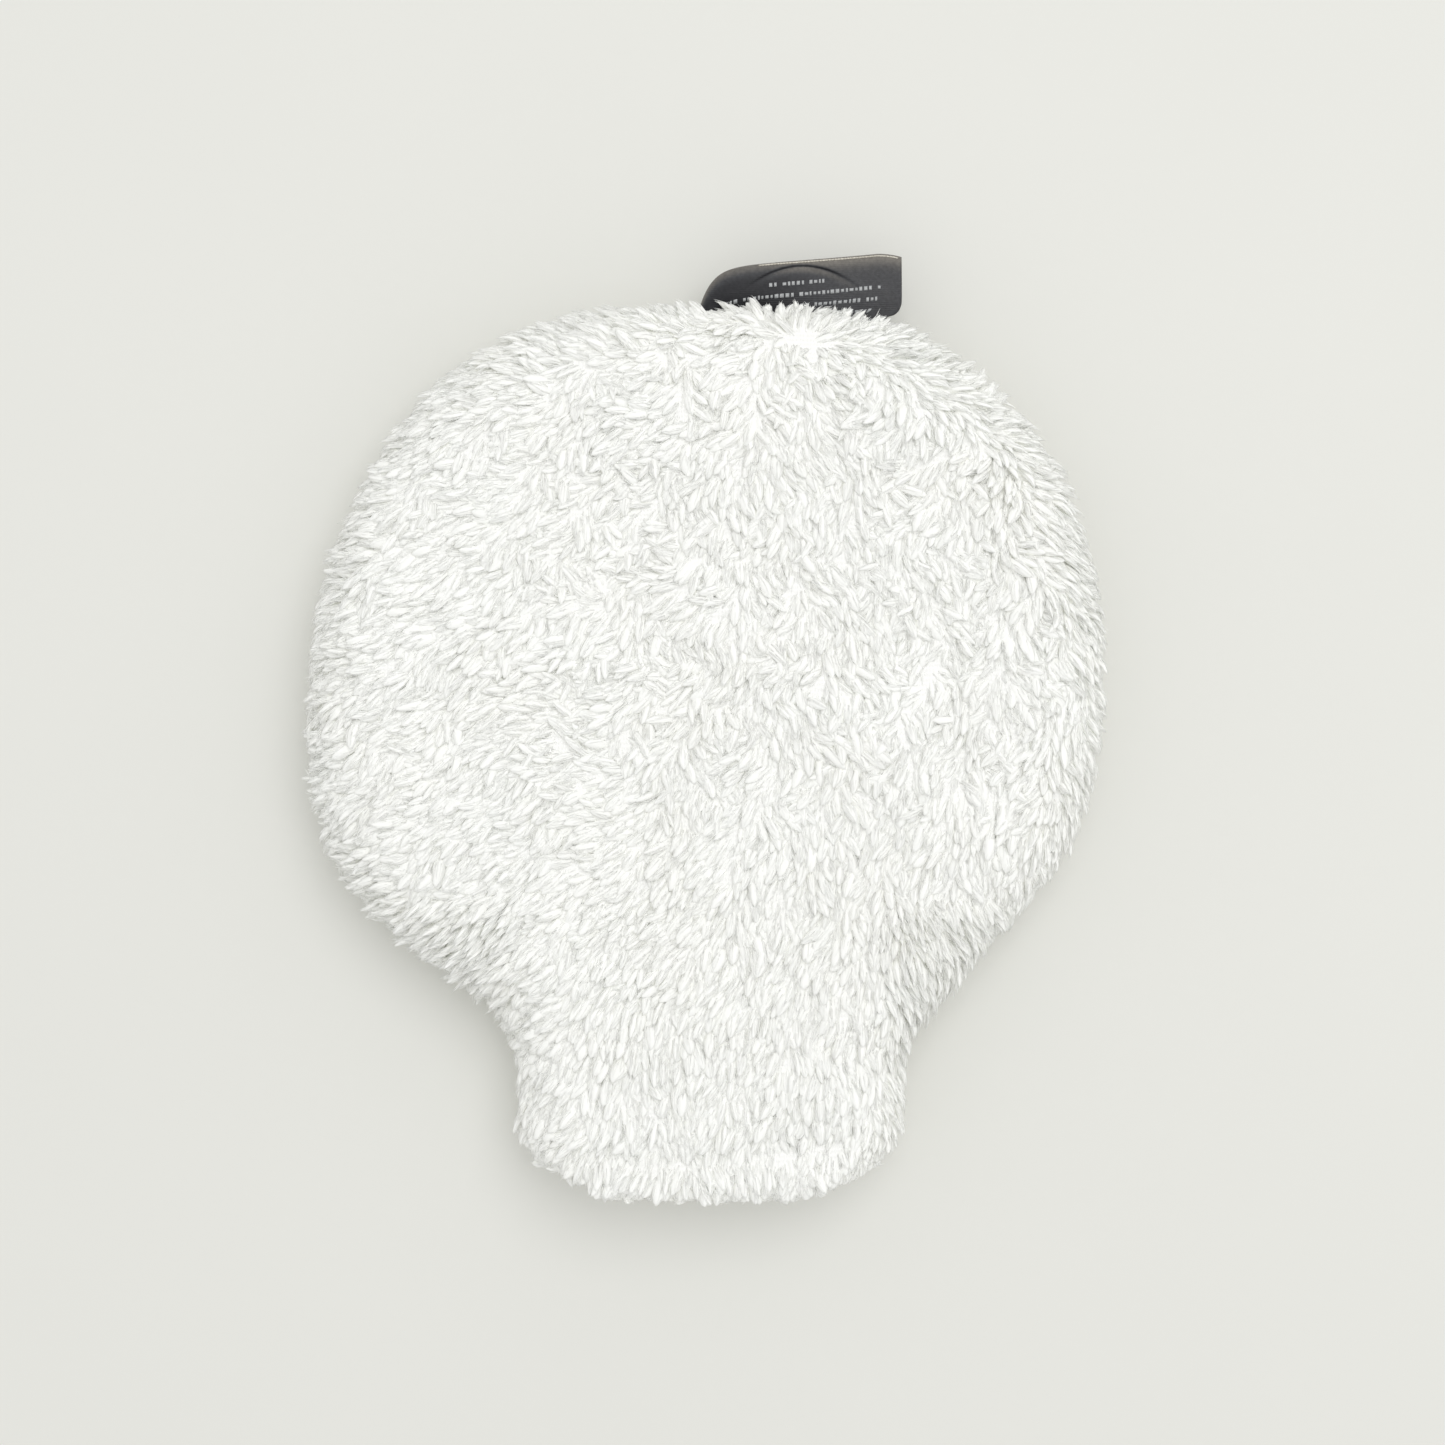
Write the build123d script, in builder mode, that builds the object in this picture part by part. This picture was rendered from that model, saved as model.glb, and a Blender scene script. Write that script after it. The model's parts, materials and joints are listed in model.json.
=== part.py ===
"""A round, lined wash mitt of long-pile plush, lying flat on its back panel.

The mitt is two bulb-shaped plush panels joined round their edge, with a thin sponge pad and a smooth
lining inside each. The neck ends in a turned-in hem that holds an elastic band, and a folded ribbon
label stands out of the seam at the fingertip end.

X is across the mitt, +Y runs from the open mouth to the fingertips and +Z points up from the surface
that the mitt lies on. The origin is below the centre of the whole outline, at that surface.
All sizes are in millimetres.
"""

import os
from math import asin, cos, degrees, sin, tan

from build123d import *

os.makedirs("parts", exist_ok=True)

# Outline
body_radius = 115.5  # the round body
neck_width = 114.0
neck_length = 34.5  # mouth, past the round body's end
shoulder_radius = 24.0  # hollow curve from neck to body
body_roll = 14.0  # rounding of the body's outer edge, seen from the side
rim_roll = 6.0  # fold of the turned-in mouth

# Layers, from the outside in
plush_thickness = 10.0  # knitted backing and pile
foam_thickness = 2.0
lining_thickness = 0.6
inner_roll = 5.0  # rounding inside the plush panels
layer_gap = 0.3  # between layers that only lie against each other
hand_space = 12.8  # height of the empty pocket

# Seams
seam_gap = 1.6  # between the two plush panels at mid height
thread_size = 0.8
seam_allowance = 3.5  # main seam thread, in from the outline
thread_start = 3.0  # where the seam begins, in from the mouth
tack_width = 6.0
tack_angle = 12.0  # round the body from the fingertip, to the left

# Cuff
hem_depth = 22.0  # length of the turned-in hem
elastic_width = 10.0
elastic_thickness = 1.0
elastic_setback = 7.0  # elastic's edge, in from the mouth
casing_clearance = 0.4
elastic_overlap = 14.0  # where the band's two ends are joined
join_rows = 3  # rows of thread across the overlap
join_margin = 1.0  # from a row's end to the band's edge
stitch_length = 3.2
stitch_pitch = 4.6
stitch_size = 0.5
hem_stitch_setback = 2.5  # stitch row, in from the hem's inner edge

# Label
label_width = 60.0
label_offset = 27.0  # label's middle, right of the mitt's centre line
label_reach = 12.5  # label's tip, past the body's tip
label_slant = 4.5  # drop of the label's far edge from right to left
label_ply = 0.35
label_fold_gap = 0.3
label_root_gap = 0.5  # from the body's edge to the line that the label bends on
tail_inset = 8.5  # inner end of the ribbon caught in the seam, in from the outline
bend_clearance = 0.3
label_stitch_inset = 6.2  # row that holds the ribbon, in from the outline
label_stitch_width = 54.0

# Worked-out places
overall_length = neck_length + 2 * body_radius + label_reach
mouth_y = -overall_length / 2
body_tip_y = overall_length / 2 - label_reach
body_centre_y = body_tip_y - body_radius
foam_top = plush_thickness + foam_thickness
hand_floor = foam_top + lining_thickness
seam_z = hand_floor + hand_space / 2
panel_top = seam_z - seam_gap / 2
lining_inset = plush_thickness + layer_gap
hand_inset = lining_inset + lining_thickness
lining_roll = inner_roll - lining_thickness - layer_gap
hand_roll = lining_roll - lining_thickness
hem_end_y = mouth_y + hem_depth
lining_start_y = hem_end_y + layer_gap
foam_inset = plush_thickness + inner_roll + layer_gap
through = 5.0  # how far a cutting shape runs past what it cuts
seam_plane = Plane.XY.offset(seam_z)


def bulb_outline(inset, mouth_end):
    """The bulb outline, moved inward by inset, with its straight mouth end at mouth_end."""
    with BuildSketch() as bulb:
        with Locations((0, body_centre_y)):
            Circle(body_radius - inset)
        with Locations((0, (mouth_end + body_centre_y) / 2)):
            Rectangle(neck_width - 2 * inset, body_centre_y - mouth_end)
        fillet(bulb.vertices().group_by(Axis.Y)[1], shoulder_radius + inset)
    return bulb.sketch


def bulb_block(inset, bottom, top, roll, mouth_end):
    """A bulb-shaped block whose lower edges are rolled, but for the edge at its mouth end."""
    with BuildPart() as block:
        with BuildSketch(Plane.XY.offset(bottom)):
            add(bulb_outline(inset, mouth_end))
        extrude(amount=top - bottom)
        lower_edges = block.faces().sort_by(Axis.Z)[0].edges()
        fillet(lower_edges.sort_by(Axis.Y)[1:], roll)
    return block.part


def seam_line(inset, size, start_y):
    """A thread that follows the outline at an inset, at mid height, open at the mouth."""
    with BuildPart() as line:
        with BuildSketch(Plane.XY.offset(seam_z - size / 2)):
            add(bulb_outline(inset - size / 2, start_y))
            add(bulb_outline(inset + size / 2, start_y - through), mode=Mode.SUBTRACT)
        extrude(amount=size)
    return line.part


# The hand's hole through the hem, and the elastic's loop and casing round it
hand_half_width = neck_width / 2 - hand_inset
elastic_inner_x = hand_half_width + hand_floor - plush_thickness
elastic_inner_z = seam_z - plush_thickness
elastic_corner = hand_roll + hand_floor - plush_thickness
elastic_start_y = mouth_y + elastic_setback


def elastic_loop(inner_growth, outer_growth, start_y, width):
    """A flattened ring round the hand's hole, from start_y towards the fingertips."""
    outer = elastic_thickness + outer_growth
    with BuildPart() as loop:
        with BuildSketch(Plane((0, start_y, seam_z), x_dir=(1, 0, 0), z_dir=(0, -1, 0))):
            RectangleRounded(
                2 * (elastic_inner_x + outer), 2 * (elastic_inner_z + outer), elastic_corner + outer
            )
            RectangleRounded(
                2 * (elastic_inner_x - inner_growth),
                2 * (elastic_inner_z - inner_growth),
                elastic_corner - inner_growth,
                mode=Mode.SUBTRACT,
            )
        extrude(amount=-width)
    return loop.part


def plush_panel():
    """The lower plush panel: a dish, open at the mouth, with a thicker turned-in hem there."""
    with BuildPart() as panel:
        add(bulb_block(0, 0, panel_top, body_roll, mouth_y))
        mouth_edges = panel.faces().sort_by(Axis.Y)[0].edges()
        fillet(mouth_edges.sort_by(Axis.Z)[:-1], rim_roll)
        add(
            bulb_block(plush_thickness, plush_thickness, seam_z, inner_roll, hem_end_y),
            mode=Mode.SUBTRACT,
        )
        add(
            bulb_block(hand_inset, hand_floor, seam_z, hand_roll, mouth_y - through),
            mode=Mode.SUBTRACT,
        )
        add(
            elastic_loop(
                casing_clearance,
                casing_clearance,
                elastic_start_y - casing_clearance,
                elastic_width + 2 * casing_clearance,
            ),
            mode=Mode.SUBTRACT,
        )
    return panel.part


# Elastic band with its overlapped ends, on the lower side of the loop
overlap_bottom = seam_z - elastic_inner_z - 2 * elastic_thickness
elastic_middle_y = elastic_start_y + elastic_width / 2
with BuildPart() as cuff_elastic:
    add(elastic_loop(0, 0, elastic_start_y, elastic_width))
    with Locations((0, elastic_middle_y, overlap_bottom)):
        Box(
            elastic_overlap,
            elastic_width,
            elastic_thickness,
            align=(Align.CENTER, Align.CENTER, Align.MIN),
        )

# Rows of thread that hold the overlap together
join_row_pitch = elastic_overlap / (join_rows + 1)
join_row_length = elastic_width - 2 * join_margin
with BuildPart() as elastic_join_stitching:
    with Locations((0, elastic_middle_y, overlap_bottom)):
        with GridLocations(join_row_pitch, 0, join_rows, 1):
            Box(
                stitch_size,
                join_row_length,
                stitch_size,
                align=(Align.CENTER, Align.CENTER, Align.MAX),
            )

# Back panel, with room in its casing for the overlap
with BuildPart() as back_plush_panel:
    add(plush_panel())
    with Locations((0, elastic_middle_y, overlap_bottom - stitch_size - casing_clearance)):
        Box(
            elastic_overlap + 2 * casing_clearance,
            elastic_width + 2 * casing_clearance,
            elastic_thickness + stitch_size + 2 * casing_clearance,
            align=(Align.CENTER, Align.CENTER, Align.MIN),
            mode=Mode.SUBTRACT,
        )

# Front panel, the back panel's twin
with BuildPart() as front_plush_panel:
    mirror(plush_panel(), about=seam_plane)

# Sponge pads, one flat against the inside of each plush panel
with BuildPart() as back_foam_pad:
    with BuildSketch(Plane.XY.offset(plush_thickness)):
        add(bulb_outline(foam_inset, lining_start_y))
    extrude(amount=foam_thickness)

with BuildPart() as front_foam_pad:
    mirror(back_foam_pad.part, about=seam_plane)

# Linings, thin dishes over the pads, open towards the mouth
with BuildPart() as back_lining:
    add(bulb_block(lining_inset, foam_top, panel_top, lining_roll, lining_start_y))
    add(
        bulb_block(hand_inset, hand_floor, seam_z, hand_roll, lining_start_y - through),
        mode=Mode.SUBTRACT,
    )

with BuildPart() as front_lining:
    mirror(back_lining.part, about=seam_plane)

# Seam threads at mid height
with BuildPart() as main_seam_thread:
    add(seam_line(seam_allowance, thread_size, mouth_y + thread_start))

lining_seam_inset = (lining_inset + hand_inset) / 2
with BuildPart() as lining_seam_thread:
    add(seam_line(lining_seam_inset, thread_size, lining_start_y))

# Tape that ties the lining's tip to the main seam
tack_outer = body_radius - seam_allowance - thread_size / 2 - layer_gap
tack_inner = body_radius - lining_seam_inset + thread_size / 2 + layer_gap
with BuildPart() as lining_tack_tape:
    with Locations(Location((0, body_centre_y, seam_z), (0, 0, tack_angle))):
        with Locations((0, (tack_outer + tack_inner) / 2, 0)):
            Box(tack_width, tack_outer - tack_inner, thread_size)

# Stitches that hold the turned-in hem, seen inside the mouth
hem_stitch_y = hem_end_y - hem_stitch_setback
hem_stitch_room = 2 * (hand_half_width - hand_roll) - stitch_length
hem_stitch_count = int(hem_stitch_room / stitch_pitch) + 1
with BuildPart() as back_hem_stitching:
    with Locations((0, hem_stitch_y, hand_floor)):
        with GridLocations(stitch_pitch, 0, hem_stitch_count, 1):
            Box(
                stitch_length,
                stitch_size,
                stitch_size,
                align=(Align.CENTER, Align.CENTER, Align.MIN),
            )

with BuildPart() as front_hem_stitching:
    mirror(back_hem_stitching.part, about=seam_plane)

# The label bends on a line that touches the round body at the label's middle
label_angle = asin(label_offset / body_radius)
bend_x = (body_radius + label_root_gap) * sin(label_angle)
bend_y = body_centre_y + (body_radius + label_root_gap) * cos(label_angle)
label_left = label_offset - label_width / 2
label_right = label_offset + label_width / 2
label_tip_y = overall_length / 2
label_thickness = 2 * label_ply + label_fold_gap


def bend_line_y(x, back=0.0):
    """Y of the bend line at x, or of a line that far behind it, towards the mouth."""
    return bend_y - tan(label_angle) * (x - bend_x) - back / cos(label_angle)


def label_shape(root_back, far_left_y, far_right_y, side_run=0.0):
    """A piece of the ribbon between a line along the bend and its far edge."""
    left = label_left - side_run
    right = label_right + side_run
    with BuildSketch(Plane.XY.offset(seam_z - label_thickness / 2)) as shape:
        with BuildLine():
            Polyline(
                (left, bend_line_y(left, root_back)),
                (right, bend_line_y(right, root_back)),
                (right, far_right_y),
                (left, far_left_y),
                close=True,
            )
        make_face()
    return shape.sketch


# Folded leaf of the label, with the fold at its far edge
with BuildPart() as care_label:
    add(label_shape(0, label_tip_y - label_slant, label_tip_y))
    extrude(amount=label_thickness)
    slit_right_y = label_tip_y - label_ply
    slit = label_shape(through, slit_right_y - label_slant, slit_right_y, through)
    add(slit.moved(Location((0, 0, label_ply))))
    extrude(amount=label_fold_gap, mode=Mode.SUBTRACT)

# The ribbon's two tails, caught between the plush panels
tail_start = label_thickness / 2 + bend_clearance
tail_shape = label_shape(
    tail_start + label_width,
    bend_line_y(label_left, tail_start),
    bend_line_y(label_right, tail_start),
)
with BuildPart() as care_label_tail:
    add(tail_shape.moved(Location((0, 0, (label_thickness - thread_size) / 2))))
    extrude(amount=thread_size)
    with Locations((0, body_centre_y, seam_z)):
        Cylinder(body_radius - tail_inset, 2 * thread_size, mode=Mode.SUBTRACT)

# Row of thread that holds the tails, along the body's edge
with BuildPart() as label_stitching:
    add(seam_line(label_stitch_inset, stitch_size, mouth_y))
    with Locations((label_offset, body_tip_y, seam_z)):
        Box(label_stitch_width, body_radius, thread_size, mode=Mode.INTERSECT)

pieces = {
    "back_plush_panel": back_plush_panel,
    "front_plush_panel": front_plush_panel,
    "back_foam_pad": back_foam_pad,
    "front_foam_pad": front_foam_pad,
    "back_lining": back_lining,
    "front_lining": front_lining,
    "cuff_elastic": cuff_elastic,
    "elastic_join_stitching": elastic_join_stitching,
    "main_seam_thread": main_seam_thread,
    "lining_seam_thread": lining_seam_thread,
    "lining_tack_tape": lining_tack_tape,
    "back_hem_stitching": back_hem_stitching,
    "front_hem_stitching": front_hem_stitching,
    "care_label": care_label,
    "care_label_tail": care_label_tail,
    "label_stitching": label_stitching,
}
for name, piece in pieces.items():
    piece.part.label = name
    export_step(piece.part, f"parts/{name}.step")

print("pocket hinge at", (0, body_tip_y, seam_z))
print("label bend at", (bend_x, bend_y, seam_z), "angle", degrees(label_angle))
print("hand hole half width", hand_half_width, "floor", hand_floor, "mouth", mouth_y)
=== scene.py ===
"""Looks of the plush wash mitt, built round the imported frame. All lengths are in metres."""

import json
import math

import bmesh
import bpy
import numpy as np
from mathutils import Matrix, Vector


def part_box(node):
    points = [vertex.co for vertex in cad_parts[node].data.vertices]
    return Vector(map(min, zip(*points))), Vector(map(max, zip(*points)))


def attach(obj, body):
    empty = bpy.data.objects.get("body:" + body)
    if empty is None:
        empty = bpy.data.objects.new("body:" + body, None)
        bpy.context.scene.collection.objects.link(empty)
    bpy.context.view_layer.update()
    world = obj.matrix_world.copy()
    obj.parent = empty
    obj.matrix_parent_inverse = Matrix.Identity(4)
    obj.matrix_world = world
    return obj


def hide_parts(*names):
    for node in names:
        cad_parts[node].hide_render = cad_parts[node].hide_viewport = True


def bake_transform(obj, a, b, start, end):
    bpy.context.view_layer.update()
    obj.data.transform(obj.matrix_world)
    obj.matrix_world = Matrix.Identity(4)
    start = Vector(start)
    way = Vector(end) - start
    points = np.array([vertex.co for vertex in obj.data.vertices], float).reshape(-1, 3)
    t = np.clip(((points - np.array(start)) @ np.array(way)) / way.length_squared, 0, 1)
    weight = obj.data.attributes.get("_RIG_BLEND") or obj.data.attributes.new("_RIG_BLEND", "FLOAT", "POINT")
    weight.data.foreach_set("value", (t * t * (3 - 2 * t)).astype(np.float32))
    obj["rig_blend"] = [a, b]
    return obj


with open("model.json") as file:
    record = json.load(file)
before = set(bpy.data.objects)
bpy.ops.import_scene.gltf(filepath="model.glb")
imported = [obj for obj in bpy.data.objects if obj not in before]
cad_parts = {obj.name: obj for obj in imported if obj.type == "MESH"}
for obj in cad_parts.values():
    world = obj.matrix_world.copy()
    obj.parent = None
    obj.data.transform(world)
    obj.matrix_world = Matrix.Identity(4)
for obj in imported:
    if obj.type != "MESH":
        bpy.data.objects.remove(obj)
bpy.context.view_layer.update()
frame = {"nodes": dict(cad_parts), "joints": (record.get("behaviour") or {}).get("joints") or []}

MM = 0.001

# ---------------------------------------------------------------- sizes from the frame
back_low, back_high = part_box("back_plush_panel")
front_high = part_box("front_plush_panel")[1]
joints = {j["name"]: j for j in frame["joints"]}
seam_z = joints["pocket_opening"]["pos_m"][2]
tip_y = joints["pocket_opening"]["pos_m"][1]
mouth_y = back_low.y
body_radius = (back_high.x - back_low.x) / 2
centre_y = tip_y - body_radius
half_height = front_high.z - seam_z
elastic_low, elastic_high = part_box("cuff_elastic")
hem_stitch_low, hem_stitch_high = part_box("back_hem_stitching")
hem_stitch_y = (hem_stitch_low.y + hem_stitch_high.y) / 2
lining_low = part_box("front_lining")[0]

# ---------------------------------------------------------------- sizes of the cloth
neck_half = 57 * MM
shoulder_radius = 24 * MM
pile_height = 4 * MM  # pile tips above the knitted backing
skin_inset = pile_height
skin_height = half_height - pile_height
skin_roll = 19 * MM  # width of the rounded edge, seen from above
skin_thickness = 1.2 * MM
under_pile = 1.7 * MM  # height of the dense short pile that fills between the locks
rim_radius = 3.6 * MM  # fold of the turned-in mouth
hem_half = 41.5 * MM  # inside of the mouth
hem_height = 4.9 * MM
hem_roll = 4.5 * MM
hem_end_y = lining_low.y - 0.3 * MM
rim_y = mouth_y + pile_height + rim_radius  # where the fold at the mouth begins
mouth_half = neck_half - skin_inset
lining_inset = 10.9 * MM
lining_height = 6.4 * MM
lining_roll = 6.0 * MM
lining_tuck = 3.0 * MM  # lining under the hem
lining_thickness = 0.5 * MM
outer_reach = 20 * MM  # cloth each side of the seam that stretches as the mouth opens
inner_reach = 10 * MM


# ---------------------------------------------------------------- noise
def smooth(t):
    """Smoothstep from 0 to 1."""
    t = np.clip(t, 0, 1)
    return t * t * (3 - 2 * t)


def noise(points, cell, seed):
    """Smooth value noise from -1 to 1 at points (N, 3), with features about cell wide."""
    size = 32
    lattice = np.random.default_rng(seed).uniform(-1, 1, (size, size, size))
    p = np.asarray(points) / cell + 100.5
    low = np.floor(p).astype(int)
    f = p - low
    f = f * f * (3 - 2 * f)
    total = 0
    for corner in range(8):
        step = np.array([corner & 1, corner >> 1 & 1, corner >> 2 & 1])
        at = (low + step) % size
        weight = np.prod(np.where(step, f, 1 - f), axis=1)
        total = total + weight * lattice[at[:, 0], at[:, 1], at[:, 2]]
    return total


# ---------------------------------------------------------------- outline
def bulb(inset, start_y, count):
    """Points of the bulb outline from the left of the mouth round to its right, and each one's point on
    the mitt's middle line, which the surface is spanned from."""
    half = neck_half - inset
    radius = body_radius - inset
    hollow = shoulder_radius + inset
    hollow_x = half + hollow
    hollow_y = centre_y - math.sqrt((radius + hollow) ** 2 - hollow_x**2)
    sweep = math.atan2(centre_y - hollow_y, hollow_x)  # of the hollow arc
    neck = hollow_y - start_y
    lengths = [neck, hollow * sweep, radius * (math.pi / 2 + sweep)]
    s = np.linspace(0, sum(lengths), count)
    x, y, spine = np.zeros(count), np.zeros(count), np.zeros(count)
    on_neck = s <= lengths[0]
    x[on_neck], y[on_neck] = half, start_y + s[on_neck]
    spine[on_neck] = y[on_neck]
    on_hollow = (s > lengths[0]) & (s <= lengths[0] + lengths[1])
    turn = (s[on_hollow] - lengths[0]) / hollow
    x[on_hollow] = hollow_x - hollow * np.cos(turn)
    y[on_hollow] = hollow_y + hollow * np.sin(turn)
    share = turn / sweep
    spine[on_hollow] = hollow_y + (centre_y - hollow_y) * share**1.5
    on_body = s > lengths[0] + lengths[1]
    turn = (s[on_body] - lengths[0] - lengths[1]) / radius - sweep
    x[on_body], y[on_body] = radius * np.cos(turn), centre_y + radius * np.sin(turn)
    spine[on_body] = centre_y
    left = np.stack([-x, y], 1)
    right = np.stack([x, y], 1)[::-1][1:]
    return np.vstack([left, right]), np.concatenate([spine, spine[::-1][1:]])


def mouth_lift(x, share=1):
    """The mouth is rounded at its corners: how far its edge stands back at x."""
    return 14 * MM * (smooth((np.abs(x) - 20 * MM) / (32 * MM)) * share) ** 1.6


def cloth_wander(points):
    """The real mitt isn't a true bulb: its edge swells and draws in a few millimetres along its way."""
    x, y = points[:, 0], points[:, 1] - centre_y
    turn, reach = np.arctan2(y, x), np.hypot(x, y)
    push = np.zeros(len(points))
    for degrees, width, swell in (
        (45, 26, 5.5),  # fuller shoulder beside the label
        (88, 18, -4.0),
        (130, 17, 3.0),
        (203, 16, 3.5),
        (-42, 12, -5.0),
        (232, 13, -4.5),
    ):
        away = np.degrees(np.angle(np.exp(1j * (turn - math.radians(degrees)))))
        push += swell * MM * np.exp(-((away / width) ** 2))
    push *= smooth((reach - 0.35 * body_radius) / (0.6 * body_radius))
    moved = points.copy()
    moved[:, 0] += push * np.cos(turn)
    moved[:, 1] += push * np.sin(turn)
    # the mouth is rounder at its corners than the neck is wide
    near_mouth = smooth((mouth_y + 26 * MM - points[:, 1]) / (30 * MM))
    moved[:, 0] *= 1 - 0.1 * near_mouth
    moved[:, 1] += mouth_lift(points[:, 0], near_mouth)
    return moved


def undulation(points):
    """Soft swells and hollows of the padded front, in metres."""
    x, y = points[:, 0] / MM, points[:, 1] / MM
    swell = np.zeros(len(points))
    for at_x, at_y, wide, long, turn, rise in (
        (-20, 45, 22, 40, 20, -2.6),  # hollow left of the middle
        (62, 10, 22, 36, -10, -2.8),  # hollow on the right
        (25, 12, 14, 62, 55, 2.2),  # ridge between them
        (5, 95, 70, 18, 0, 1.6),  # full fingertip end
        (-70, -10, 26, 50, 25, 1.2),
        (98, 5, 12, 60, 0, 1.6),
        (0, -60, 50, 16, 0, -1.2),  # where the body narrows to the neck
        (25, -121, 34, 3.5, 6, -1.6),  # hem seam, drawn in
        (-20, -124, 34, 3.5, -3, -1.0),
    ):
        a = math.radians(turn)
        across = (x - at_x) * math.cos(a) + (y - at_y) * math.sin(a)
        along = (y - at_y) * math.cos(a) - (x - at_x) * math.sin(a)
        swell += rise * np.exp(-((across / wide) ** 2) - (along / long) ** 2)
    return swell * MM + 0.5 * MM * noise(points * [1, 1, 0], 22 * MM, 5)


# ---------------------------------------------------------------- surfaces
def rounded(depth, height, roll):
    """Height of a rounded edge of width roll, depth in from where it starts."""
    return height * np.sqrt(np.clip(1 - (1 - np.clip(depth / roll, 0, 1)) ** 2, 0, 1))


def span(inset, start_y, height, roll, around, rolled, flat, side, relief):
    """Half of a pillow over the bulb outline: rows run round the outline, columns from the seam inward.
    Returns points (rows, columns, 3) and each one's way along the cloth from the seam."""
    edge, spine = bulb(inset, start_y, around)
    inner = np.stack([np.zeros(len(edge)), spine], 1)
    reach = np.linalg.norm(edge - inner, axis=1)
    curve = roll * (1 - np.cos(np.linspace(0, math.pi / 2, rolled)))
    rest = np.linspace(0, 1, flat + 1)[1:]
    depth = np.hstack([np.repeat(curve[None], len(edge), 0), roll + (reach[:, None] - roll) * rest[None]])
    share = depth / reach[:, None]
    xy = edge[:, None] * (1 - share[..., None]) + inner[:, None] * share[..., None]
    rise = rounded(depth, height, roll)
    flat_xy = xy.reshape(-1, 2)
    points = np.column_stack([flat_xy, np.zeros(len(flat_xy))])
    lift = relief(points) * smooth(depth.ravel() / (25 * MM)) if relief else 0
    points = cloth_wander(points)
    points[:, 2] = seam_z + side * (rise.ravel() + lift)
    grid = points.reshape(xy.shape[0], xy.shape[1], 3)
    steps = np.linalg.norm(np.diff(grid, axis=1), axis=2)
    return grid, np.hstack([np.zeros((len(edge), 1)), np.cumsum(steps, 1)])


def way_along(path):
    """Each point's way along a path from its start."""
    return np.concatenate([[0], np.cumsum(np.linalg.norm(np.diff(path, axis=0), axis=1))])


def evenly(path, step):
    """A path's points moved to be about step apart, and each one's way along it."""
    way = way_along(path)
    even = np.linspace(0, way[-1], max(3, int(way[-1] / step)))
    return np.stack([np.interp(even, way, path[:, i]) for i in range(3)], 1), even


def unit(vectors):
    return vectors / np.maximum(np.linalg.norm(vectors, axis=-1, keepdims=True), 1e-9)


def grid_faces(rows, columns, flip):
    """Quads of a grid of points, row by row."""
    i, j = np.meshgrid(np.arange(rows - 1), np.arange(columns - 1), indexing="ij")
    a = (i * columns + j).ravel()
    quads = np.stack([a, a + 1, a + columns + 1, a + columns], 1)
    return quads[:, ::-1] if flip else quads


def add_object(name, data):
    thing = bpy.data.objects.new(name, data)
    bpy.context.scene.collection.objects.link(thing)
    return thing


def mesh_object(name, points, faces, smooth_shading=True):
    """A mesh object from arrays of points and equal-sized faces."""
    mesh = bpy.data.meshes.new(name)
    faces = np.asarray(faces)
    mesh.vertices.add(len(points))
    mesh.vertices.foreach_set("co", np.asarray(points, np.float32).ravel())
    mesh.loops.add(faces.size)
    mesh.loops.foreach_set("vertex_index", faces.astype(np.int32).ravel())
    mesh.polygons.add(len(faces))
    starts = np.arange(0, faces.size, faces.shape[1], dtype=np.int32)
    mesh.polygons.foreach_set("loop_start", starts)
    mesh.update(calc_edges=True)
    mesh.validate()
    mesh.polygons.foreach_set("use_smooth", np.full(len(mesh.polygons), smooth_shading))
    return add_object(name, mesh)


def point_value(thing, name, values):
    """Stores one number for each vertex."""
    store = thing.data.attributes.get(name) or thing.data.attributes.new(name, "FLOAT", "POINT")
    store.data.foreach_set("value", np.asarray(values, np.float32))


def read_values(thing, name):
    values = np.zeros(len(thing.data.vertices), np.float32)
    thing.data.attributes[name].data.foreach_get("value", values)
    return values


def read_vectors(thing, what):
    """The points ("co") or normals ("normal") of a mesh, as an array (vertices, 3)."""
    values = np.zeros(len(thing.data.vertices) * 3, np.float32)
    thing.data.vertices.foreach_get(what, values)
    return values.reshape(-1, 3)


def dress(thing, material, slot, *nodes):
    """Gives a piece its material and hides the CAD nodes that it stands for; the slot is not used."""
    thing.data.materials.append(material)
    if nodes:
        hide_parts(*nodes)


def weld(thing):
    """Joins points that coincide, as where rows meet on the middle line."""
    shape = bmesh.new()
    shape.from_mesh(thing.data)
    bmesh.ops.remove_doubles(shape, verts=shape.verts, dist=0.02 * MM)
    shape.to_mesh(thing.data)
    shape.free()


def thicken(thing, thickness, offset, shares=None):
    """Gives a cloth its thickness, on the side that offset says, and less of it where shares are under 1."""
    solid = thing.modifiers.new("thickness", "SOLIDIFY")
    if shares is not None:
        group = thing.vertex_groups.new(name="thickness")
        for index, share in enumerate(shares):
            group.add([index], float(share), "REPLACE")
        solid.vertex_group = group.name
    solid.thickness, solid.offset = thickness, offset
    solid.use_even_offset = False
    bpy.context.view_layer.objects.active = thing
    bpy.ops.object.modifier_apply(modifier=solid.name)


def fill_under_pile(skin):
    """Raises the outside of a skin into the dense short pile between the locks."""
    inside = read_values(skin, "inside")
    points, normals = read_vectors(skin, "co"), read_vectors(skin, "normal")
    at_seam = np.abs(points[:, 2] - seam_z) < 0.01 * MM
    normals[at_seam, 2] = 0  # both halves move straight out here, so that they stay joined
    normals = unit(normals)
    raised = points + normals * (under_pile * (1 - inside))[:, None]
    skin.data.vertices.foreach_set("co", raised.ravel())
    skin.data.update()


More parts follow.
